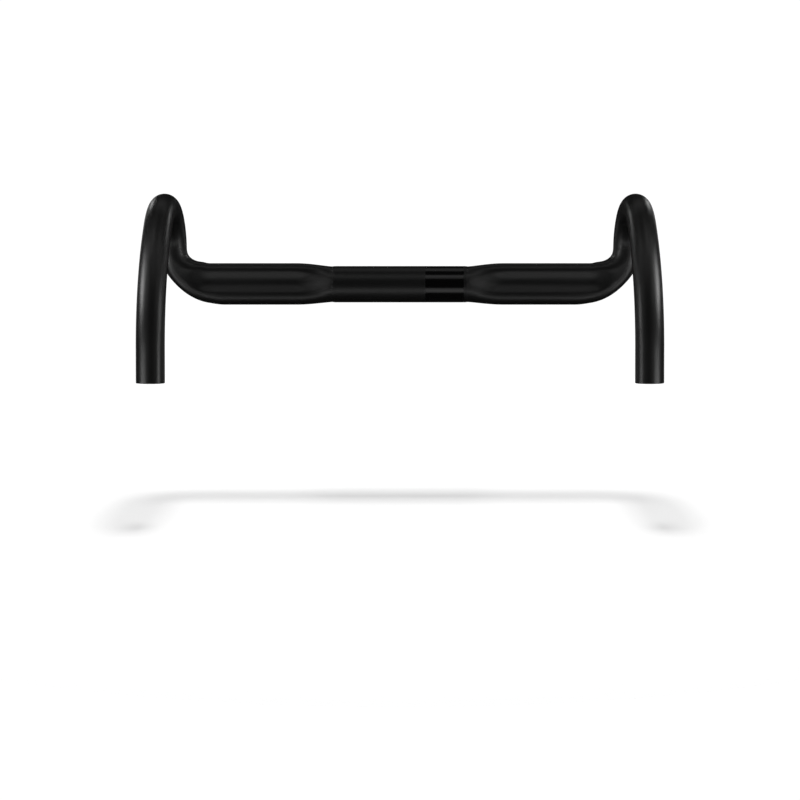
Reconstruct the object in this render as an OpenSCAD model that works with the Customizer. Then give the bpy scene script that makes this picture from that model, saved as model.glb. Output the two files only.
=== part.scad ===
// Road drop handlebar: a round clamp tube, two flattened tops with a cable groove, and two hooked
// drops, bonded together over internal laps.
// The frame's origin is the middle of the clamp. +X runs along the clamp to the rider's left,
// +Z is the reach (forward when fitted) and -Y is the drop (down when fitted).

/* [Clamp tube] */
// Diameter that the stem clamps
clamp_d = 31.8; // [31.4:0.1:32.2]
// Length of the round clamp tube
clamp_l = 118.4; // [118:0.2:126]
// Bore of the clamp tube
clamp_bore_d = 27; // [26.8:0.1:27.6]
// Length over which each end of the clamp tube runs down to its neck
neck_run = 3; // [2:0.5:3.5]
// Distance from the middle to the gloss band
gloss_start = 22; // [12:0.5:22]
// Width of the gloss band
gloss_w = 33.5; // [20:0.5:33.5]
// Thickness of the gloss film, which lies flush in its recess
gloss_t = 0.15; // [0.1:0.05:0.3]

/* [Tops] */
// Diameter of the tops at the neck, where they meet the clamp tube
neck_d = 31.2; // [31:0.1:31.4]
// Length over which the round neck becomes the flattened section
swell_l = 31.5; // [26:0.5:36]
// Radius of the front edge of the flattened section
front_r = 6.5; // [6.1:0.1:6.9]
// Radius of the rear edge of the flattened section
rear_r = 9.5; // [9:0.1:10]
// Radius of the palm side
crown_r = 24; // [22:0.5:28]
// Depth of the cable groove on the underside
groove_depth = 3.2; // [1:0.1:3.6]
// Length over which the cable groove opens from its point at the neck
groove_l = 34; // [28:0.5:40]
// Wall of the tops and the drops
wall = 1.8; // [1.5:0.1:2.1]
// Length of the round spigot inside the clamp tube
spigot_l = 35; // [28:0.5:40]

/* [Corner] */
// Half the distance between the two ramps, centre to centre
ramp_x = 198.2; // [196:0.1:220]
// Radius of the corner's centreline
corner_r = 32; // [31:0.5:34]

/* [Drops] */
// Diameter of the hook and the drop
tube_d = 23.8; // [23.4:0.1:24.2]
// Outward flare of the drops, in degrees
flare = 3.1; // [0:0.1:8]
// Radius of the first bend, off the ramp
bend_1_r = 30; // [26:1:36]
// Angle of the first bend
bend_1_a = 27; // [22:1:32]
// Radius of the main bend
bend_2_r = 46; // [42:1:50]
// Angle of the main bend
bend_2_a = 104; // [96:1:108]
// Radius of the long bend down to the hand position
bend_3_r = 150; // [120:5:180]
// Angle of the long bend
bend_3_a = 43; // [38:1:46]
// Length of the straight end, which takes the bar-end plug
end_l = 28; // [20:1:40]
// Length of the curved lap sleeve inside the corner, in degrees of bend
sleeve_a = 14; // [10:1:14]
// Wall of the lap sleeve
sleeve_t = 0.9; // [0.7:0.1:1.2]

/* [Hidden] */
$fn = 96;

satin_black = [0.055, 0.055, 0.058];
gloss_black = [0.015, 0.015, 0.016];
bare_laminate = [0.10, 0.10, 0.11];
adhesive = [0.62, 0.58, 0.45];

clamp_r = clamp_d / 2;
clamp_bore_r = clamp_bore_d / 2;
neck_x = clamp_l / 2;
neck_r = neck_d / 2;
tube_r = tube_d / 2;
bore_r = tube_r - wall;
gloss_end = gloss_start + gloss_w;

// Bond lines
clamp_bond_t = 0.2;
ramp_bond_t = 0.15;
fit_gap = 0.02;
spigot_r = clamp_bore_r - clamp_bond_t - fit_gap;
spigot_bore_r = 11.8;
// How far each wall face of a tucked bend is set in, and how far the bend runs on
tuck_t = 0.1;
tuck_l = 0.5;
// Gap between the lap sleeve's bond line and the faceted cavity of the corner
sleeve_gap = 0.15;

// Centres of the two edge arcs of the flattened section, as [towards the front, towards the underside]
front_c = [12.1, 0.9];
rear_c = [-8.3, 1.5];

// Points around the flattened section: number on each arc and on the groove's line
front_n = 8;
crown_n = 6;
rear_n = 10;
floor_n = 12;
ring_n = front_n + crown_n + rear_n + floor_n;

// Stations, as distances along the centreline from the middle of the clamp
corner_x = ramp_x - corner_r;
corner_end = corner_x + corner_r * PI / 2;
swell_shape = 1.25;
groove_shape = 1.75;
groove_flare = 0.63;
// Where the groove's point lies at the neck, on the scale from -1 to 1 across the groove
groove_tip = -0.1;
groove_fade = [corner_x - 2, corner_x + 20];
// Where each edge of the section draws in to the tube's radius, and where its arc opens out to it
front_narrows = [corner_x + 10, corner_x + 44];
front_rounds = [corner_x + 3, corner_x + 44];
rear_narrows = [corner_x - 13, corner_x + 28];
rear_rounds = [corner_x + 20, corner_x + 44];
round_gap = 0.05;
swell_rings = 12;
corner_rings = 22;
stations = concat(
    [for (i = [0 : swell_rings - 1]) neck_x + swell_l * (i / swell_rings) ^ 1.3],
    [neck_x + swell_l, (neck_x + swell_l + rear_narrows[0]) / 2],
    [for (i = [0 : corner_rings]) rear_narrows[0] + (corner_end - rear_narrows[0]) * i / corner_rings]
);

function smooth(edges, v) =
    let (t = max(0, min(1, (v - edges[0]) / (edges[1] - edges[0])))) t * t * (3 - 2 * t);

// One edge arc at station s, as [centre, radius]
function edge_arc(c, r, narrows, rounds, s) =
    let (
        narrowed = smooth(narrows, s),
        tip = abs(c.x) + r,
        arc_r = r + (tube_r - round_gap - r) * smooth(rounds, s),
        side = sign(c.x)
    )
    [[side * (tip + (tube_r - tip) * narrowed - arc_r), c.y * (1 - narrowed)], arc_r];

// The flattened section's outline at station s: its three arcs as [centre, radius], front, crown and
// rear, and the normal of the line that touches both edge arcs on the underside. The crown, on the
// palm side, touches both edge arcs from outside.
function outline(s) =
    let (
        front = edge_arc(front_c, front_r, front_narrows, front_rounds, s),
        rear = edge_arc(rear_c, rear_r, rear_narrows, rear_rounds, s),
        gap = norm(front[0] - rear[0]),
        dir = (front[0] - rear[0]) / gap,
        floor_a = atan2(dir.y, dir.x) + acos((rear[1] - front[1]) / gap),
        to_front = crown_r - front[1],
        to_rear = crown_r - rear[1],
        along = (to_rear ^ 2 - to_front ^ 2 + gap ^ 2) / (2 * gap),
        up = sqrt(to_rear ^ 2 - along ^ 2)
    )
    [front, [rear[0] + along * dir + up * [-dir.y, dir.x], crown_r], rear, [cos(floor_a), sin(floor_a)]];

function angle_of(v) = atan2(v.y, v.x);
// Direction from the crown's centre to an edge arc's centre: the place where the two arcs join
function join_a(arc, crown) = angle_of(arc[0] - crown[0]);

// How far the arc lies from the middle of the section in the direction u
function arc_reach(arc, inset, u) =
    let (along = arc[0] * u) along + sqrt((arc[1] - inset) ^ 2 - arc[0] * arc[0] + along ^ 2);

// How far the outline, set in by inset, lies from its middle in the direction u
function reach(shape, inset, u) =
    let (
        front = shape[0], crown = shape[1], rear = shape[2], normal = shape[3],
        a = angle_of(u),
        joint_a = function (arc, t) angle_of(arc[0] + (arc[1] - inset) * t),
        front_t = (front[0] - crown[0]) / norm(front[0] - crown[0]),
        rear_t = (rear[0] - crown[0]) / norm(rear[0] - crown[0])
    )
    a < joint_a(rear, rear_t) || a > joint_a(rear, normal) ? arc_reach(rear, inset, u)
    : a < joint_a(front, front_t) ? arc_reach(crown, inset, u)
    : a < joint_a(front, normal) ? arc_reach(front, inset, u)
    : (rear[0] * normal + rear[1] - inset) / (u * normal);

// Points on an arc from angle a to angle b, without the last one; the third value marks no groove
function arc_points(arc, inset, a, b, n) =
    [for (i = [0 : n - 1]) let (t = a + (b - a) * i / n)
        [arc[0].x + (arc[1] - inset) * cos(t), arc[0].y + (arc[1] - inset) * sin(t), 1]];

// Points on the line over the groove, rear to front; the third value runs from -1 to 1 across it
function floor_points(shape, inset) =
    let (
        a = shape[2][0] + (shape[2][1] - inset) * shape[3],
        b = shape[0][0] + (shape[0][1] - inset) * shape[3]
    )
    [for (i = [0 : floor_n - 1]) let (t = i / floor_n, p = a + (b - a) * t) [p.x, p.y, 2 * t - 1]];

// The flattened section of the straight top, set in from the outside by inset
flat = outline(neck_x);
floor_a = angle_of(flat[3]);
function section(inset) =
    let (front_a = join_a(flat[0], flat[1]), rear_a = join_a(flat[2], flat[1]))
    concat(
        arc_points(flat[0], inset, floor_a, front_a, front_n),
        arc_points(flat[1], inset, front_a, rear_a, crown_n),
        arc_points(flat[2], inset, rear_a, floor_a - 360, rear_n),
        floor_points(flat, inset)
    );

// How far the section has grown from the round neck, and how far the groove has opened, from 0 to 1
function swell(s) = sin(90 * max(0, min(1, (s - neck_x) / swell_l))) ^ swell_shape;
function groove_t(s) = max(0, min(1, (s - neck_x) / groove_l));
function groove(m, width) = abs(m) < width ? (1 - (m / width) ^ 2) ^ groove_shape : 0;

// A point of the section in space: forward and down are its places in the section at station s
function place(s, forward, down) =
    let (a = max(0, (s - corner_x) / corner_r) * 180 / PI)
    s <= corner_x
        ? [s, -down, forward]
        : [corner_x + (corner_r - forward) * sin(a), -down, corner_r - (corner_r - forward) * cos(a)];

// The ring of points at station s, from the round start_r at the neck to the round end at the ramp
function ring(s, inset, start_r) =
    let (
        shape = outline(s),
        grown = swell(s),
        opened = sin(90 * groove_t(s)),
        width = opened ^ groove_flare,
        middle = groove_tip * (1 - groove_t(s)),
        depth = groove_depth * opened * (1 - smooth(groove_fade, s))
    )
    [for (v = section(inset)) let (
        u = [v.x, v.y] / norm([v.x, v.y]),
        r = (1 - grown) * start_r + grown * reach(shape, inset, u),
        p = r * u - depth * groove(v.z - middle, width) * shape[3]
    ) place(s, p.x, p.y)];

// A round ring of radius r at station s, with the same spacing as the section
function round_ring(s, r) =
    [for (v = section(0)) let (size = norm([v.x, v.y])) place(s, v.x * r / size, v.y * r / size)];

// A closed skin over a loop of rings, the last one joined to the first
module ring_loop(rings) {
    m = len(rings);
    points = [for (r = rings) each r];
    faces = [for (i = [0 : m - 1], j = [0 : ring_n - 1]) let (
        a = i * ring_n, b = (i + 1) % m * ring_n, k = (j + 1) % ring_n
    ) each [[a + j, a + k, b + k], [a + j, b + k, b + j]]];
    polyhedron(points, faces, convexity = 8);
}

// One top on the +X side: the spigot, the flattened shell and the corner, with the cavity inside
module top_shell() {
    last = len(stations) - 1;
    outside = [for (s = stations) ring(s, 0, neck_r)];
    cavity = [for (i = [last : -1 : 0]) ring(stations[i], wall, spigot_bore_r)];
    ring_loop(concat(
        [round_ring(neck_x - spigot_l, spigot_r), round_ring(neck_x, spigot_r)],
        outside,
        cavity,
        [round_ring(neck_x - spigot_l, spigot_bore_r)]
    ));
}

// A tube along X, from x0 to x1
module tube_x(x0, x1, ro, ri) {
    translate([x0, 0, 0]) rotate([0, 90, 0]) difference() {
        cylinder(r = ro, h = x1 - x0);
        translate([0, 0, -1]) cylinder(r = ri, h = x1 - x0 + 2);
    }
}

// A bent tube in the XY plane, from a start point and heading, turning left through angle a.
// It can run on past either end, by a length along its centreline.
module bent_tube(start, heading, r, a, ro, ri, before = 0, after = 0) {
    extra_before = before / r * 180 / PI;
    extra_after = after / r * 180 / PI;
    translate(start + r * [-sin(heading), cos(heading), 0]) rotate([0, 0, heading - 90 - extra_before])
        rotate_extrude(angle = a + extra_before + extra_after) translate([r, 0]) difference() {
            circle(r = ro);
            circle(r = ri);
        }
}

// Where a bend ends, and the three places along the hook
function bend_end(start, heading, r, a) =
    start + r * [sin(heading + a) - sin(heading), cos(heading) - cos(heading + a), 0];
bend_2_at = bend_end([0, 0, 0], 0, bend_1_r, bend_1_a);
bend_3_at = bend_end(bend_2_at, bend_1_a, bend_2_r, bend_2_a);
end_at = bend_end(bend_3_at, bend_1_a + bend_2_a, bend_3_r, bend_3_a);
end_heading = bend_1_a + bend_2_a + bend_3_a;

// Turns the hook's own plane, X along the ramp and Y towards the drop, into its place on the +X side
module in_hook_plane() {
    translate([ramp_x, 0, corner_r]) rotate([0, 0, flare]) rotate(a = 180, v = [1, 0, 1]) children();
}

// The first and the long bend are a little thinner and run on inside the walls of their neighbours,
// so that the whole drop is one solid
module drop_tube() {
    thin_r = tube_r - tuck_t;
    thin_bore_r = bore_r + tuck_t;
    in_hook_plane() {
        bent_tube([0, 0, 0], 0, bend_1_r, bend_1_a, thin_r, thin_bore_r, after = tuck_l);
        bent_tube(bend_2_at, bend_1_a, bend_2_r, bend_2_a, tube_r, bore_r);
        bent_tube(bend_3_at, bend_1_a + bend_2_a, bend_3_r, bend_3_a, thin_r, thin_bore_r, tuck_l, tuck_l);
        translate(end_at) rotate([0, 0, end_heading]) tube_x(0, end_l, tube_r, bore_r);
    }
}

// The lap inside the ramp joint: an arc in the corner's plane and an arc in the hook's plane
lap_r = bore_r - sleeve_gap;
module corner_lap(ro, ri) {
    lap_start = 90 - sleeve_a;
    translate([corner_x, 0, 0]) rotate([90, 0, 0])
        bent_tube(corner_r * [sin(lap_start), 1 - cos(lap_start), 0], lap_start, corner_r, sleeve_a, ro, ri);
}
module hook_lap(ro, ri, before = 0) {
    in_hook_plane() bent_tube([0, 0, 0], 0, bend_1_r, bend_1_a, ro, ri, before);
}

// The sleeve's arc in the hook is a little thinner and runs on inside its arc in the corner
sleeve_r = lap_r - ramp_bond_t;
module ramp_sleeve() {
    corner_lap(sleeve_r, sleeve_r - sleeve_t);
    hook_lap(sleeve_r - tuck_t, sleeve_r - sleeve_t + tuck_t, tuck_l);
}
module corner_bond() { corner_lap(lap_r, sleeve_r); }
module hook_bond() { hook_lap(lap_r, sleeve_r - tuck_t); }
module clamp_bond() { tube_x(neck_x - spigot_l, neck_x, clamp_bore_r, clamp_bore_r - clamp_bond_t); }

// Half of the clamp tube's profile, as [radius, place along the tube], with the recess of the gloss film
clamp_profile = [
    [clamp_bore_r, -neck_x], [neck_r, -neck_x], [clamp_r, neck_run - neck_x],
    [clamp_r, gloss_start], [clamp_r - gloss_t, gloss_start],
    [clamp_r - gloss_t, gloss_end], [clamp_r, gloss_end],
    [clamp_r, neck_x - neck_run], [neck_r, neck_x], [clamp_bore_r, neck_x]
];
module clamp_tube() { color(satin_black) rotate([0, 90, 0]) rotate_extrude() polygon(clamp_profile); }
module gloss_band() { color(gloss_black) tube_x(gloss_start, gloss_end, clamp_r, clamp_r - gloss_t); }
module left_top() { color(satin_black) top_shell(); }
module right_top() { color(satin_black) mirror([1, 0, 0]) top_shell(); }
module left_drop() { color(satin_black) drop_tube(); }
module right_drop() { color(satin_black) mirror([1, 0, 0]) drop_tube(); }
module left_clamp_bond() { color(adhesive) clamp_bond(); }
module right_clamp_bond() { color(adhesive) mirror([1, 0, 0]) clamp_bond(); }
module left_ramp_sleeve() { color(bare_laminate) ramp_sleeve(); }
module right_ramp_sleeve() { color(bare_laminate) mirror([1, 0, 0]) ramp_sleeve(); }
module left_corner_bond() { color(adhesive) corner_bond(); }
module right_corner_bond() { color(adhesive) mirror([1, 0, 0]) corner_bond(); }
module left_hook_bond() { color(adhesive) hook_bond(); }
module right_hook_bond() { color(adhesive) mirror([1, 0, 0]) hook_bond(); }

clamp_tube();
gloss_band();
left_top();
right_top();
left_drop();
right_drop();
left_clamp_bond();
right_clamp_bond();
left_ramp_sleeve();
right_ramp_sleeve();
left_corner_bond();
right_corner_bond();
left_hook_bond();
right_hook_bond();
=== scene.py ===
import math

import bpy
import numpy as np
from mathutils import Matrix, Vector


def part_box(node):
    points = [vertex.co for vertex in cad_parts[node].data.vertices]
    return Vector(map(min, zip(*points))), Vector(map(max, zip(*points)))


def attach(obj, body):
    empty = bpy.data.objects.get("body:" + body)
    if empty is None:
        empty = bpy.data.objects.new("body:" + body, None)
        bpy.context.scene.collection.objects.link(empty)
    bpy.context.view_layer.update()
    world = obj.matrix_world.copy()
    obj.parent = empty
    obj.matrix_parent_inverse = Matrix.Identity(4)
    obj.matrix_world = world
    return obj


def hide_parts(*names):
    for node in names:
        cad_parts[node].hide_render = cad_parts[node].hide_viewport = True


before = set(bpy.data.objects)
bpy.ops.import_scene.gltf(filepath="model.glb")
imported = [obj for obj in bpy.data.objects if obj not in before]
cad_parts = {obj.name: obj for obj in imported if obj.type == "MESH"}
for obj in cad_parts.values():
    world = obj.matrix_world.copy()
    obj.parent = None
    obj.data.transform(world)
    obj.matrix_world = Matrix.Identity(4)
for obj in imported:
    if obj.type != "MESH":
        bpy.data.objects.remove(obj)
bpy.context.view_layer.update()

MM = 0.001

# ---------------------------------------------------------------- the bar's shape, in millimetres

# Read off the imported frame: the clamp tube, the gloss band and the inner end of the left spigot
CLAMP_LOW, CLAMP_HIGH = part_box("clamp_tube")
BAND_LOW, BAND_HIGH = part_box("gloss_band")
CLAMP_R = CLAMP_HIGH.y / MM
NECK_X = CLAMP_HIGH.x / MM
BAND_X0, BAND_X1 = BAND_LOW.x / MM, BAND_HIGH.x / MM
SPIGOT_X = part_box("left_clamp_bond")[0].x / MM

# The same driving dimensions as the CAD: the clamp tube, the band and the neck
CLAMP_BORE_R = 13.5
BAND_T = 0.15
NECK_R = 15.6
NECK_RUN = 3.0
SPIGOT_R = 13.28
SPIGOT_BORE_R = 11.8
WALL = 1.8

# The top's section: edge arcs centred at (forward, down), and the crown between them
FRONT_C, FRONT_R = np.array([12.1, 0.9]), 6.5
REAR_C, REAR_R = np.array([-8.3, 1.5]), 9.5
CROWN_R = 24.0

# How the top swells out from the neck, and how its cable groove opens
SWELL_L = 31.5
SWELL_SHAPE = 1.25
GROOVE_DEPTH = 3.2
GROOVE_L = 34.0
GROOVE_TIP = -0.10
GROOVE_SHAPE = 1.75
GROOVE_FLARE = 0.63

# The corner up to the ramp, and the hook and drop as (radius, degrees) of each bend
RAMP_X = 198.2
CORNER_R = 32.0
CORNER_X = RAMP_X - CORNER_R
CORNER_END = CORNER_X + CORNER_R * math.pi / 2
TUBE_R = 11.9
FLARE = math.radians(3.1)
BENDS = ((30.0, 27.0), (46.0, 104.0), (150.0, 43.0))
END_L = 28.0

# Where, along the centreline, the flattened section turns into the round tube
FRONT_NARROWS = (CORNER_X + 10, CORNER_X + 44)
FRONT_ROUNDS = (CORNER_X + 3, CORNER_X + 44)
REAR_NARROWS = (CORNER_X - 13, CORNER_X + 28)
REAR_ROUNDS = (CORNER_X + 20, CORNER_X + 44)
GROOVE_FADE = (CORNER_X - 2, CORNER_X + 20)
ROUND_GAP = 0.05

# Small roundings that the CAD leaves square: radius and number of steps
LIP_R, LIP_N = 0.45, 6
SEAM_R, SEAM_N = 0.12, 5
BAND_EDGE_R, BAND_EDGE_N = 0.05, 5
JOINT_R, JOINT_N = 0.01, 2

# How finely the pieces are meshed: points round a ring, and the spacing or number of the rings
ROUND_N = 160
SECTION_N = (30, 40, 36, 70)
NECK_RUN_N = 9
TUBE_STEP = 8
BAND_STEP = 6
SWELL_START, SWELL_N, SWELL_BUNCH = 0.9, 44, 1.3
TOP_STEP = 3.5
CORNER_N = 80
INSIDE_STEP, INSIDE_CORNER_STEP = 3, 2.5
BEND_STEP, BEND_MIN_N = 1.6, 4
STRAIGHT_STEP = 2.5

# A plain ring this far from an edge keeps the edge's shading off the faces beside it
EDGE_GUARD = 0.3
BAND_GUARD = 1

# The place across the groove that stands for a point outside it
OFF_GROOVE = 9.0

# Least values for two divisors
MIN_FACING = 0.1
MIN_WIDTH = 1e-6


def smooth(edges, v):
    """0 below edges[0], 1 above edges[1], and an even S between them."""
    t = np.clip((v - edges[0]) / (edges[1] - edges[0]), 0, 1)
    return t * t * (3 - 2 * t)


def quarter(v):
    """A quarter sine wave: from 0 to 1 as v goes from 0 to 1."""
    return math.sin(math.pi / 2 * v)


def angle_of(v):
    """The angle of each (forward, down) vector in v."""
    return np.arctan2(v[..., 1], v[..., 0])


def arc(centre, r, a, b, n):
    """n points of an arc from angle a up to but without b, as rows for section()."""
    t = a + (b - a) * np.arange(n) / n
    return np.column_stack([
        centre[0] + r * np.cos(t),
        centre[1] + r * np.sin(t),
        np.full(n, OFF_GROOVE),
    ])


def edge_arc(centre, r, narrows, rounds, s):
    """Centre and radius of one edge arc of the section at station s.

    Its tip moves in to the tube's radius over narrows, and it rounds out to the tube over rounds.
    """
    narrowed, side = smooth(narrows, s), np.sign(centre[0])
    tip = abs(centre[0]) + r
    r += (TUBE_R - ROUND_GAP - r) * smooth(rounds, s)
    forward = side * (tip + (TUBE_R - tip) * narrowed - r)
    return np.array([forward, centre[1] * (1 - narrowed)]), r


def outline(s):
    """The section at station s: its front, crown and rear arcs and its underside's normal."""
    front_c, front_r = edge_arc(FRONT_C, FRONT_R, FRONT_NARROWS, FRONT_ROUNDS, s)
    rear_c, rear_r = edge_arc(REAR_C, REAR_R, REAR_NARROWS, REAR_ROUNDS, s)
    gap = np.linalg.norm(front_c - rear_c)
    along = (front_c - rear_c) / gap
    across = np.array([-along[1], along[0]])
    floor_a = math.atan2(along[1], along[0]) + math.acos((rear_r - front_r) / gap)
    to_front, to_rear = CROWN_R - front_r, CROWN_R - rear_r
    run = (to_rear**2 - to_front**2 + gap**2) / (2 * gap)
    crown_c = rear_c + run * along + math.sqrt(to_rear**2 - run**2) * across
    normal = np.array([math.cos(floor_a), math.sin(floor_a)])
    return (front_c, front_r), (crown_c, CROWN_R), (rear_c, rear_r), normal


def section(inset):
    """The straight top's section, set in by inset: forward, down and place across the groove."""
    (front_c, front_r), (crown_c, _), (rear_c, rear_r), normal = outline(NECK_X)
    floor_a = angle_of(normal)
    front_a, rear_a = angle_of(front_c - crown_c), angle_of(rear_c - crown_c)
    front_n, crown_n, rear_n, floor_n = SECTION_N
    a, b = rear_c + (rear_r - inset) * normal, front_c + (front_r - inset) * normal
    t = (np.arange(floor_n) / floor_n)[:, None]
    return np.vstack([
        arc(front_c, front_r - inset, floor_a, front_a, front_n),
        arc(crown_c, CROWN_R - inset, front_a, rear_a, crown_n),
        arc(rear_c, rear_r - inset, rear_a, floor_a - 2 * math.pi, rear_n),
        np.hstack([a + (b - a) * t, 2 * t - 1]),
    ])


def lengths(pts):
    """Each point's distance from the middle of its ring, as a column."""
    return np.hypot(pts[:, 0], pts[:, 1])[:, None]


def reach(shape, inset, u):
    """How far the outline, set in by inset, lies from its middle in each direction u."""
    front, crown, rear, normal = shape

    def to_arc(centre, r):
        along = u @ centre
        return along + np.sqrt(np.maximum(0, (r - inset) ** 2 - centre @ centre + along**2))

    def joint(edge, direction):
        return angle_of(edge[0] + (edge[1] - inset) * direction / np.linalg.norm(direction))

    a = angle_of(u)
    to_floor = (rear[0] @ normal + rear[1] - inset) / np.maximum(u @ normal, MIN_FACING)
    is_rear = (a < joint(rear, rear[0] - crown[0])) | (a > joint(rear, normal))
    is_crown = a < joint(front, front[0] - crown[0])
    is_front = a < joint(front, normal)
    to_arcs = [to_arc(*rear), to_arc(*crown), to_arc(*front)]
    return np.select([is_rear, is_crown, is_front], to_arcs, to_floor)


def place(s, forward, down):
    """A ring's points in space, at distance s along the centreline from the clamp's middle."""
    a = max(0.0, (s - CORNER_X) / CORNER_R)
    if a == 0:
        return np.column_stack([np.full(len(forward), s), -down, forward])
    return np.column_stack([
        CORNER_X + (CORNER_R - forward) * math.sin(a),
        -down,
        CORNER_R - (CORNER_R - forward) * math.cos(a),
    ])


def top_ring(s, inset, start_r, shrink=0.0):
    """The ring at station s: round at the neck, flattened along the top, round at the ramp."""
    pts, shape = section(inset), outline(s)
    u = pts[:, :2] / lengths(pts)
    grown = quarter(np.clip((s - NECK_X) / SWELL_L, 0, 1)) ** SWELL_SHAPE
    opening = np.clip((s - NECK_X) / GROOVE_L, 0, 1)
    opened = quarter(opening)
    width = max(MIN_WIDTH, opened**GROOVE_FLARE)
    depth = GROOVE_DEPTH * opened * (1 - smooth(GROOVE_FADE, s))
    r = (1 - grown) * start_r + grown * reach(shape, inset, u) - shrink
    m = np.minimum(np.abs(pts[:, 2] - GROOVE_TIP * (1 - opening)) / width, 1)
    cut = depth * (1 - m**2) ** GROOVE_SHAPE
    forward, down = (r[:, None] * u - cut[:, None] * shape[3]).T
    return place(s, forward, down)


def round_ring(s, r):
    """A round ring at station s, with its points in the section's directions."""
    pts = section(0)[:, :2]
    forward, down = (pts * r / lengths(pts)).T
    return place(s, forward, down)


def rounding(r, n):
    """A quarter-round edge of radius r in n steps: (distance run along, distance still set in)."""
    t = np.linspace(0, math.pi / 2, n + 1)
    return [(r * (1 - math.cos(a)), r * (1 - math.sin(a))) for a in t]


# ---------------------------------------------------------------- meshes


def skin(name, rings, body="root"):
    """A closed skin over a loop of rings, in millimetres, the last ring joined to the first."""
    rings = np.array(rings)
    m, n = rings.shape[:2]
    i, j = np.meshgrid(np.arange(m), np.arange(n), indexing="ij")
    i2, j2 = (i + 1) % m, (j + 1) % n
    corners = [i * n + j, i * n + j2, i2 * n + j2, i2 * n + j]
    quads = np.stack(corners, axis=-1).reshape(-1, 4)
    points = rings.reshape(-1, 3)
    if volume_of(points, quads) < 0:
        quads = quads[:, ::-1]
    mesh = bpy.data.meshes.new(name)
    mesh.from_pydata((points * MM).tolist(), [], quads.tolist())
    mesh.polygons.foreach_set("use_smooth", [True] * len(mesh.polygons))
    mesh.update()
    piece = bpy.data.objects.new(name, mesh)
    bpy.context.scene.collection.objects.link(piece)
    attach(piece, body)
    return piece


def volume_of(points, quads):
    """Six times the volume inside the quads, below 0 where they face inwards."""
    a, b, c, d = (points[quads[:, k]] for k in range(4))
    halves = (np.cross(b - a, c - a), np.cross(c - a, d - a))
    return sum(np.einsum("ij,ij->", half, a) for half in halves)


def circle():
    """The cosines and sines of a round ring's points."""
    t = 2 * math.pi * np.arange(ROUND_N) / ROUND_N
    return np.cos(t), np.sin(t)


def circle_rings(profile):
    """Rings about the X axis for a profile of (x, r) points."""
    c, s = circle()
    return [np.column_stack([np.full(ROUND_N, x), r * c, r * s]) for x, r in profile]


def even(a, b, step):
    """Evenly spaced values strictly between a and b, about step apart."""
    n = max(1, round(abs(b - a) / step))
    return [a + (b - a) * i / n for i in range(1, n)]


def band_edge(x, towards):
    """Profile points over a rounded edge at x; towards is +1 where the solid lies towards +X."""
    steps = rounding(BAND_EDGE_R, BAND_EDGE_N)
    return [(x + towards * run, CLAMP_R - drop) for run, drop in steps]


def neck_run(towards):
    """Profile points from a neck up to the clamp's full size; towards is +1 at the -X end."""
    drop = CLAMP_R - NECK_R
    steps = np.linspace(0, NECK_RUN, NECK_RUN_N)
    return [(towards * (x - NECK_X), CLAMP_R - drop * (1 - x / NECK_RUN) ** 2) for x in steps]


def clamp_tube():
    """The clamp tube: a flush recess for the gloss band, and ends that run down to the necks."""
    floor_r = CLAMP_R - BAND_T
    before_band = BAND_X0 - BAND_GUARD
    profile = [(-NECK_X, CLAMP_BORE_R)] + neck_run(1)
    profile += [(x, CLAMP_R) for x in even(-NECK_X + NECK_RUN, before_band, TUBE_STEP)]
    profile += [(before_band, CLAMP_R)] + band_edge(BAND_X0, -1)[::-1] + [(BAND_X0, floor_r)]
    profile += [(x, floor_r) for x in even(BAND_X0, BAND_X1, TUBE_STEP)]
    profile += [(BAND_X1, floor_r)] + band_edge(BAND_X1, 1)
    profile += neck_run(-1)[::-1] + [(NECK_X, CLAMP_BORE_R)]
    profile += [(x, CLAMP_BORE_R) for x in even(NECK_X, -NECK_X, TUBE_STEP)]
    return skin("Clamp_tube", circle_rings(profile))


def gloss_band():
    """The gloss film in its recess, with a fine rounded edge."""
    floor_r = CLAMP_R - BAND_T
    x0, x1 = BAND_X0 + EDGE_GUARD, BAND_X1 - EDGE_GUARD
    profile = [(BAND_X0, floor_r)] + band_edge(BAND_X0, 1) + [(x0, CLAMP_R)]
    profile += [(x, CLAMP_R) for x in even(x0, x1, BAND_STEP)]
    profile += [(x1, CLAMP_R)] + band_edge(BAND_X1, -1)[::-1]
    profile += [(BAND_X1, floor_r)] + [(x, floor_r) for x in even(BAND_X1, BAND_X0, BAND_STEP)]
    return skin("Gloss_band", circle_rings(profile))


def top_stations():
    """Where the outer rings of a top lie, close together where its shape changes fast."""
    swell_end = NECK_X + SWELL_L
    swell = swell_end - NECK_X - SWELL_START
    stations = [NECK_X + SEAM_R + EDGE_GUARD]
    bunched = [(i / SWELL_N) ** SWELL_BUNCH for i in range(SWELL_N)]
    stations += [NECK_X + SWELL_START + swell * t for t in bunched]
    stations += [swell_end] + even(swell_end, REAR_NARROWS[0], TOP_STEP)
    bend = CORNER_END - REAR_NARROWS[0]
    stations += [REAR_NARROWS[0] + bend * i / CORNER_N for i in range(CORNER_N)]
    return stations + [CORNER_END - EDGE_GUARD]


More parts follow.
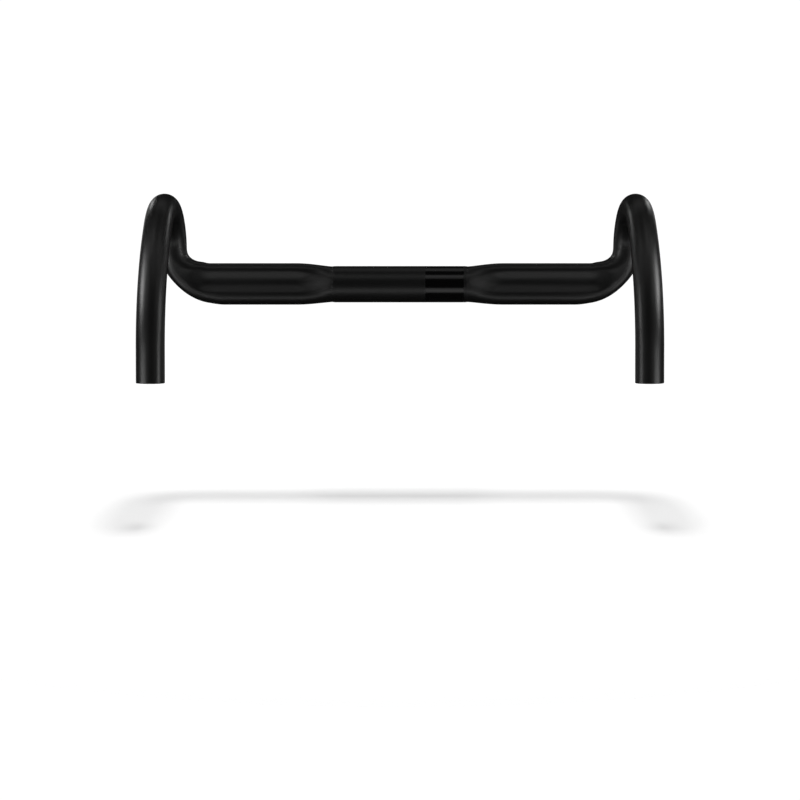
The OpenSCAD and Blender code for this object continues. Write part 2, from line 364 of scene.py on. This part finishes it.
def top_rings():
    """One top on the +X side: spigot, rounded neck, flattened shell, corner and cavity."""
    rings = [round_ring(SPIGOT_X, SPIGOT_R), round_ring(NECK_X, SPIGOT_R)]
    for run, drop in rounding(SEAM_R, SEAM_N):
        rings.append(top_ring(NECK_X + run, 0, NECK_R, shrink=drop))
    rings += [top_ring(s, 0, NECK_R) for s in top_stations()]
    for run, drop in rounding(JOINT_R, JOINT_N)[::-1]:
        rings.append(top_ring(CORNER_END - run, 0, NECK_R, shrink=drop))
    inside = [CORNER_END] + even(CORNER_END, REAR_NARROWS[0], INSIDE_CORNER_STEP)
    inside += [REAR_NARROWS[0]] + even(REAR_NARROWS[0], NECK_X, INSIDE_STEP) + [NECK_X]
    rings += [top_ring(s, WALL, SPIGOT_BORE_R) for s in inside]
    return rings + [round_ring(SPIGOT_X, SPIGOT_BORE_R)]


def hook_path():
    """Stations down the hook: distance along the ramp, distance towards the drop, and heading."""
    a = b = heading = 0.0
    path = [(a, b, heading)]
    for r, turn in BENDS:
        steps = max(BEND_MIN_N, round(r * math.radians(turn) / BEND_STEP))
        step = math.radians(turn) / steps
        chord = 2 * r * math.sin(step / 2)
        for _ in range(steps):
            a += chord * math.cos(heading + step / 2)
            b += chord * math.sin(heading + step / 2)
            heading += step
            path.append((a, b, heading))
    return path


def hook_ring(a, b, heading, r):
    """A round ring square to the hook's centreline."""
    c, s = circle()
    along = a - r * c * math.sin(heading)
    across = b + r * c * math.cos(heading)
    side = r * s
    return np.column_stack([
        RAMP_X + across * math.sin(FLARE) + side * math.cos(FLARE),
        -across * math.cos(FLARE) + side * math.sin(FLARE),
        CORNER_R + along,
    ])


def drop_rings():
    """One hook and drop on the +X side, open at the end, with a rounded lip."""
    path = hook_path()
    start, (a, b, heading) = path[0], path[-1]
    bore_r = TUBE_R - WALL
    lip_start = END_L - 2 * LIP_R

    def straight_ring(d, r):
        return hook_ring(a + d * math.cos(heading), b + d * math.sin(heading), heading, r)

    rings = []
    for run, drop in rounding(JOINT_R, JOINT_N):
        rings.append(hook_ring(start[0] + run, start[1], start[2], TUBE_R - drop))
    rings += [hook_ring(*p, TUBE_R) for p in path[1:]]
    outside = even(0, lip_start, STRAIGHT_STEP) + [lip_start]
    rings += [straight_ring(d, TUBE_R) for d in outside]
    for run, drop in rounding(LIP_R, LIP_N)[::-1]:
        rings.append(straight_ring(END_L - run, TUBE_R - drop))
    for run, drop in rounding(LIP_R, LIP_N):
        rings.append(straight_ring(END_L - run, bore_r + drop))
    rings += [straight_ring(d, bore_r) for d in even(lip_start, 0, STRAIGHT_STEP)]
    rings += [hook_ring(*p, bore_r) for p in path[::-1]]
    return rings


def both_sides(make_rings, name):
    """The piece on the +X side, which is the rider's left, and its mirror image."""
    rings = np.array(make_rings())
    return skin("Left_" + name, rings), skin("Right_" + name, rings * [-1, 1, 1])


# ---------------------------------------------------------------- materials

# Levels of the base colours, from 0 to 1; the adhesive's also have a warmth
PAINT_DARK, PAINT_LIGHT, PAINT_WORN = 0.0014, 0.0022, 0.012
FILM_DARK, FILM_LIGHT = 0.0004, 0.0008
TOW_DARK, TOW_LIGHT = 0.012, 0.026
GLUE_DARK, GLUE_LIGHT = (0.30, 0.16), (0.42, 0.14)

# Wear on the paint's edges: the pointiness it starts and is full at, its most, and its polish
WEAR_FROM, WEAR_FULL = 0.53, 0.6
WEAR_MOST = 0.6
WEAR_POLISH = 0.08

GRAIN_SHARE = 0.5
TOWS_PER_METRE = 420.0


class Nodes:
    """A short way to write a material: add makes a node, and set fills or links its sockets."""

    def __init__(self, name):
        self.material = bpy.data.materials.new(name)
        self.material.use_nodes = True
        self.tree = self.material.node_tree
        self.tree.nodes.clear()
        self.shader = self.add("ShaderNodeBsdfPrincipled")
        out = self.add("ShaderNodeOutputMaterial")
        self.tree.links.new(self.shader.outputs["BSDF"], out.inputs["Surface"])
        self.place = self.add("ShaderNodeTexCoord").outputs["Object"]

    def add(self, kind, inputs=None, **settings):
        """A node with its settings made and its inputs filled or linked."""
        node = self.tree.nodes.new(kind)
        for key, value in settings.items():
            setattr(node, key, value)
        for key, value in (inputs or {}).items():
            self.set(node.inputs[key], value)
        return node

    def set(self, socket, value):
        """Links value to the socket if it is a socket itself, and otherwise writes it there."""
        if isinstance(value, bpy.types.NodeSocket):
            self.tree.links.new(value, socket)
        else:
            socket.default_value = value

    def surface(self, colour, roughness):
        """The shader's base colour and roughness."""
        self.set(self.shader.inputs["Base Color"], colour)
        self.set(self.shader.inputs["Roughness"], roughness)

    def noise(self, scale, detail=2.0, roughness=0.5):
        """Noise from 0 to 1, scale being about its waves to the metre."""
        inputs = {"Vector": self.place, "Scale": scale, "Detail": detail, "Roughness": roughness}
        return self.add("ShaderNodeTexNoise", inputs).outputs["Fac"]

    def spread(self, value, low, high):
        """value, from 0 to 1, spread over low to high."""
        inputs = {"Value": value, "To Min": low, "To Max": high}
        return self.add("ShaderNodeMapRange", inputs).outputs["Result"]

    def math(self, operation, a, b):
        """One operation on two values."""
        return self.add("ShaderNodeMath", {0: a, 1: b}, operation=operation).outputs[0]

    def mix(self, share, a, b):
        """Colour a turning into colour b as share goes from 0 to 1."""
        node = self.add("ShaderNodeMix", data_type="RGBA")
        colours = [s for s in node.inputs if s.type == "RGBA"]
        for socket, value in zip([node.inputs[0]] + colours, (share, a, b)):
            self.set(socket, value)
        return [s for s in node.outputs if s.type == "RGBA"][0]

    def bump(self, height, strength, distance):
        """Bump on the whole surface, distance in metres."""
        inputs = {"Height": height, "Strength": strength, "Distance": distance}
        self.set(self.shader.inputs["Normal"], self.add("ShaderNodeBump", inputs).outputs["Normal"])


def grey(v, warm=0.0):
    """A grey of level v, with more red and less blue where it is warm."""
    return (v * (1 + warm), v, v * (1 - warm), 1.0)


def satin_black():
    """Satin black paint: a fine leather-like grain, slow drift in sheen, and worn, paler edges."""
    n = Nodes("satin_black_paint")
    drift = n.noise(scale=18.0, detail=3.0)
    grain = n.noise(scale=2600.0, detail=2.0, roughness=0.6)
    peel = n.noise(scale=420.0, detail=1.0)
    edge = n.add("ShaderNodeNewGeometry").outputs["Pointiness"]
    wear_range = {"Value": edge, "From Min": WEAR_FROM, "From Max": WEAR_FULL}
    worn = n.add("ShaderNodeMapRange", wear_range).outputs["Result"]
    worn = n.math("MULTIPLY", worn, n.spread(drift, low=0.0, high=WEAR_MOST))
    colour = n.mix(worn, n.mix(drift, grey(PAINT_DARK), grey(PAINT_LIGHT)), grey(PAINT_WORN))
    drifting, grainy = n.spread(drift, low=0.36, high=0.40), n.spread(grain, low=-0.02, high=0.02)
    polish = n.math("MULTIPLY", worn, WEAR_POLISH)
    n.surface(colour, n.math("SUBTRACT", n.math("ADD", drifting, grainy), polish))
    height = n.math("ADD", n.math("MULTIPLY", grain, GRAIN_SHARE), peel)
    n.bump(height, strength=0.06, distance=0.00004)
    return n.material


def gloss_black():
    """The gloss film: deep black with a faint orange peel and a few dull spots."""
    n = Nodes("gloss_black_film")
    drift = n.noise(scale=30.0, detail=3.0)
    peel = n.noise(scale=260.0, detail=1.0)
    colour = n.mix(drift, grey(FILM_DARK), grey(FILM_LIGHT))
    n.surface(colour, n.spread(drift, low=0.15, high=0.19))
    n.bump(peel, strength=0.05, distance=0.00004)
    return n.material


def bare_laminate():
    """Unpainted carbon laminate: crossed tows in a fine check, under a thin skin of resin."""
    n = Nodes("bare_laminate")
    check = {"Vector": n.place, "Scale": TOWS_PER_METRE}
    weave = n.add("ShaderNodeTexChecker", check).outputs["Fac"]
    drift = n.noise(scale=60.0, detail=3.0)
    colour = n.mix(weave, grey(TOW_DARK), grey(TOW_LIGHT))
    woven, drifting = n.spread(weave, low=0.3, high=0.42), n.spread(drift, low=0.0, high=0.1)
    n.surface(colour, n.math("ADD", woven, drifting))
    n.bump(weave, strength=0.2, distance=0.0001)
    return n.material


def adhesive():
    """Cured structural adhesive: an uneven straw colour with small pores."""
    n = Nodes("cured_adhesive")
    drift = n.noise(scale=90.0, detail=4.0)
    pores = n.noise(scale=900.0, detail=2.0)
    colour = n.mix(drift, grey(*GLUE_DARK), grey(*GLUE_LIGHT))
    n.surface(colour, n.spread(pores, low=0.45, high=0.7))
    n.bump(pores, strength=0.3, distance=0.0001)
    return n.material


def finish_with(piece, material):
    """Gives a piece its material."""
    piece.data.materials.clear()
    piece.data.materials.append(material)


# ---------------------------------------------------------------- floor, lights and camera

# The camera's pitch, its distance from its aim and the aim's depth below the clamp, in metres.
# They were fitted to the photograph's outlines together with the bends.
VIEW_PITCH = math.radians(10.26)
VIEW_DISTANCE = 1.821
AIM_BELOW_CLAMP = 0.1015
LENS = 93.47

FLOOR_Z = -0.178
FLOOR_R = 0.62
FLOOR_N = 96
FLOOR_GREY = 0.9

# The key lights only the floor and the bar's body colour. Its place and size, and the floor's
# height, come from a search that matched the photograph's shadow.
KEY_PLACE = (0, 0.75, 2.5)
KEY_SIZE = 0.50
KEY_RADIANCE = 40.0

# How bright the sky is to the camera, to the floor and in the bar's sheen
SKY_FOR_CAMERA = 1.05
SKY_FOR_FLOOR = 0.81
SKY_FOR_SHEEN = 0.015

# The radiances of the strips, boxes and panels, and which panels there are, are rounded from a
# least-squares fit to the photograph's grey levels, and some were then changed.

# The strips and boxes stand on a sphere round the bar and face its middle
STUDIO_R = 1.0
CENTRE = (0, 0, 0)

# Strips square to the clamp tube: elevation above the front, angle filled, length, radiance
STRIPS = (
    ("Strip_low", -38, 16, 1.00, 0.74),
    ("Box_low", -25, 14, 0.36, 0.62),
    ("Strip_front", 60, 14, 1.60, 0.18),
    ("Box_front", 54, 22, 0.36, 0.42),
    ("Strip_back", 112, 27, 1.00, 0.28),
)

# Square boxes in pairs, left and right of the camera: azimuth, elevation, radiance
BOX_SIZE = 0.20
BOXES = (
    ("Pair_high", 48, 60, 1.65),
    ("Pair_mid", 40, 30, 1.1),
    ("Pair_level", 24, 0, 0.36),
    ("Pair_low", 32, -40, 1.9),
)

# Panels in pairs beside the bar, facing inwards: place, size along Y and Z, radiance
SIDES = (
    ("Side_near", (0.34, -0.13, 0.08), (0.08, 0.08), 4.8),
    ("Side_near_low", (0.34, -0.29, -0.08), (0.08, 0.08), 4.1),
    ("Side_near_high", (0.34, -0.17, 0.12), (0.08, 0.16), 1.3),
    ("Side_near_rear", (0.34, 0.17, 0.12), (0.16, 0.16), 0.56),
    ("Side_mid_high", (0.60, -0.20, 0.15), (0.15, 0.15), 5.8),
    ("Side_mid_low", (0.60, -0.35, -0.15), (0.15, 0.15), 8.8),
    ("Side_rear_high", (0.60, 0.60, 0.45), (0.30, 0.15), 6.0),
    ("Side_top", (0.60, -0.25, 0.65), (0.40, 0.15), 1.0),
    ("Side_far_low", (1.20, -0.55, -0.90), (0.60, 0.40), 2.8),
    ("Side_far_rear", (1.20, 1.20, -0.30), (0.60, 0.90), 0.48),
)

# A mix node's factor and its two values, when it mixes plain numbers
MIX_FACTOR, MIX_A, MIX_B = 0, 2, 3


def camera():
    """The camera looks along +Y and slightly down, at a point below the clamp tube."""
    forward = Vector((0, math.cos(VIEW_PITCH), -math.sin(VIEW_PITCH)))
    up = Vector((0, math.sin(VIEW_PITCH), math.cos(VIEW_PITCH)))
    data = bpy.data.cameras.new("Camera")
    data.lens = LENS
    eye = bpy.data.objects.new("Camera", data)
    middle = (CLAMP_LOW + CLAMP_HIGH) / 2
    eye.location = middle - AIM_BELOW_CLAMP * up - VIEW_DISTANCE * forward
    eye.rotation_euler = (math.pi / 2 - VIEW_PITCH, 0, 0)
    bpy.context.scene.collection.objects.link(eye)
    bpy.context.scene.camera = eye


def floor():
    """A plain pale disc below the bar. The bar's sheen doesn't mirror it."""
    turns = [2 * math.pi * i / FLOOR_N for i in range(FLOOR_N)]
    rim = [(FLOOR_R * math.cos(a), FLOOR_R * math.sin(a), FLOOR_Z) for a in turns]
    mesh = bpy.data.meshes.new("Floor")
    mesh.from_pydata(rim, [], [tuple(range(FLOOR_N))])
    disc = bpy.data.objects.new("Floor", mesh)
    bpy.context.scene.collection.objects.link(disc)
    n = Nodes("pale_floor")
    n.surface(grey(FLOOR_GREY), 1.0)
    n.set(n.shader.inputs["Specular IOR Level"], 0.0)
    mesh.materials.append(n.material)
    disc.visible_glossy = False
    disc.visible_shadow = False


def area_light(name, where, aim, width, height, radiance):
    """A soft rectangular light that faces aim."""
    data = bpy.data.lights.new(name, "AREA")
    data.shape = "RECTANGLE"
    data.size, data.size_y = width, height
    data.energy = radiance * width * height * math.pi
    lamp = bpy.data.objects.new(name, data)
    lamp.location = where
    lamp.rotation_euler = (Vector(aim) - Vector(where)).to_track_quat("-Z", "Y").to_euler()
    lamp.visible_camera = False
    bpy.context.scene.collection.objects.link(lamp)
    return lamp


def around(azimuth, elevation):
    """A place on the studio's sphere, from the front, in degrees."""
    a, e = math.radians(azimuth), math.radians(elevation)
    across, ahead = math.sin(a) * math.cos(e), -math.cos(a) * math.cos(e)
    return STUDIO_R * Vector((across, ahead, math.sin(e)))


def lights():
    """A soft key overhead for the floor, and strips, boxes and side panels for the bar's sheen."""
    key = area_light("Key", KEY_PLACE, CENTRE, KEY_SIZE, KEY_SIZE, KEY_RADIANCE)
    key.visible_glossy = False
    sheen = []
    for name, elevation, angle, length, radiance in STRIPS:
        wide = 2 * STUDIO_R * math.tan(math.radians(angle / 2))
        sheen.append(area_light(name, around(0, elevation), CENTRE, length, wide, radiance))
    for side in (-1, 1):
        for name, azimuth, elevation, radiance in BOXES:
            where = around(side * azimuth, elevation)
            sheen.append(area_light(name, where, CENTRE, BOX_SIZE, BOX_SIZE, radiance))
        for name, (x, y, z), size, radiance in SIDES:
            sheen.append(area_light(name, (side * x, y, z), (0, y, z), *size, radiance))
    for lamp in sheen:
        lamp.visible_diffuse = False


def sky():
    """White to the camera, soft white on the floor, and nearly dark in the bar's sheen."""
    world = bpy.data.worlds.new("Sky")
    bpy.context.scene.world = world
    world.use_nodes = True
    tree = world.node_tree
    background = tree.nodes["Background"]
    path = tree.nodes.new("ShaderNodeLightPath")
    sheen = tree.nodes.new("ShaderNodeMix")
    sheen.inputs[MIX_A].default_value = SKY_FOR_FLOOR
    sheen.inputs[MIX_B].default_value = SKY_FOR_SHEEN
    tree.links.new(path.outputs["Is Glossy Ray"], sheen.inputs[MIX_FACTOR])
    seen = tree.nodes.new("ShaderNodeMix")
    seen.inputs[MIX_B].default_value = SKY_FOR_CAMERA
    tree.links.new(path.outputs["Is Camera Ray"], seen.inputs[MIX_FACTOR])
    tree.links.new(sheen.outputs[0], seen.inputs[MIX_A])
    tree.links.new(seen.outputs[0], background.inputs["Strength"])
    background.inputs["Color"].default_value = grey(1.0)
    bpy.context.scene.view_settings.view_transform = "Standard"


# ---------------------------------------------------------------- the scene

camera()
floor()
lights()
sky()

paint, film, laminate, glue = satin_black(), gloss_black(), bare_laminate(), adhesive()
tube = clamp_tube()
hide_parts("clamp_tube")
finish_with(tube, paint)
band = gloss_band()
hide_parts("gloss_band")
finish_with(band, film)
for rings, name, node in ((top_rings, "Top", "top"), (drop_rings, "Drop", "drop")):
    for piece, side in zip(both_sides(rings, name), ("left", "right")):
        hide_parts(f"{side}_{node}")
        finish_with(piece, paint)
for name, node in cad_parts.items():
    if name.endswith("_sleeve"):
        finish_with(node, laminate)
    elif name.endswith("_bond"):
        finish_with(node, glue)
